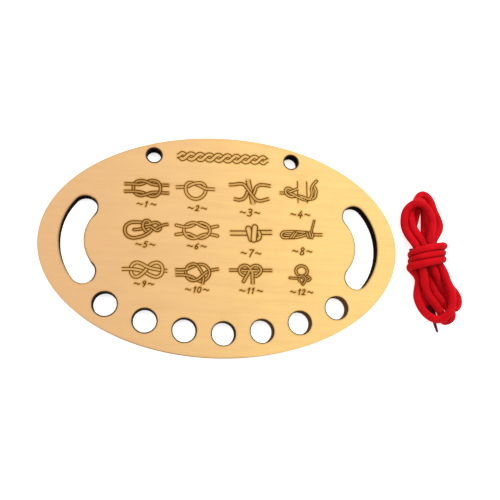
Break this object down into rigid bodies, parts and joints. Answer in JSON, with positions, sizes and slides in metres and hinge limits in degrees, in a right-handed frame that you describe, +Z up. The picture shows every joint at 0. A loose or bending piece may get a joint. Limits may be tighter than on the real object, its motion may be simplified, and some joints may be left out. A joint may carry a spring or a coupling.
{
  "type": "knot tying board",
  "caption": "Oval laser-cut plywood knot practice board with a row of holes, hanging holes, curved hand slots and engraved knot drawings, with a hank of red cord beside it.",
  "frame": {"origin": "middle of the board's back face, on the surface that it rests on", "axes": "+X along the oval towards the cord, +Y towards the board's upper edge with the two hanging holes, +Z up out of the engraved face"},
  "size_m": [0.3603, 0.1876, 0.0285],
  "materials": {
    "birch_face": "bare birch veneer, sanded, with fine grain and brown laser scorch at every cut",
    "birch_core": "cross-grain birch core veneer, seen only as charred cut edges",
    "cord_red": "matt red braided synthetic cord",
    "tip_maroon": "melted and drawn-out cord end, dark maroon"
  },
  "bodies": {
    "root": {"back_veneer": "birch_face", "lower_crossband": "birch_core", "lower_longband": "birch_face", "centre_core": "birch_core", "upper_longband": "birch_face", "upper_crossband": "birch_core", "face_veneer": "birch_face", "cord_hank": "cord_red", "cord_tip_tail": "tip_maroon", "cord_tip_tucked": "tip_maroon"}
  },
  "joints": []
}
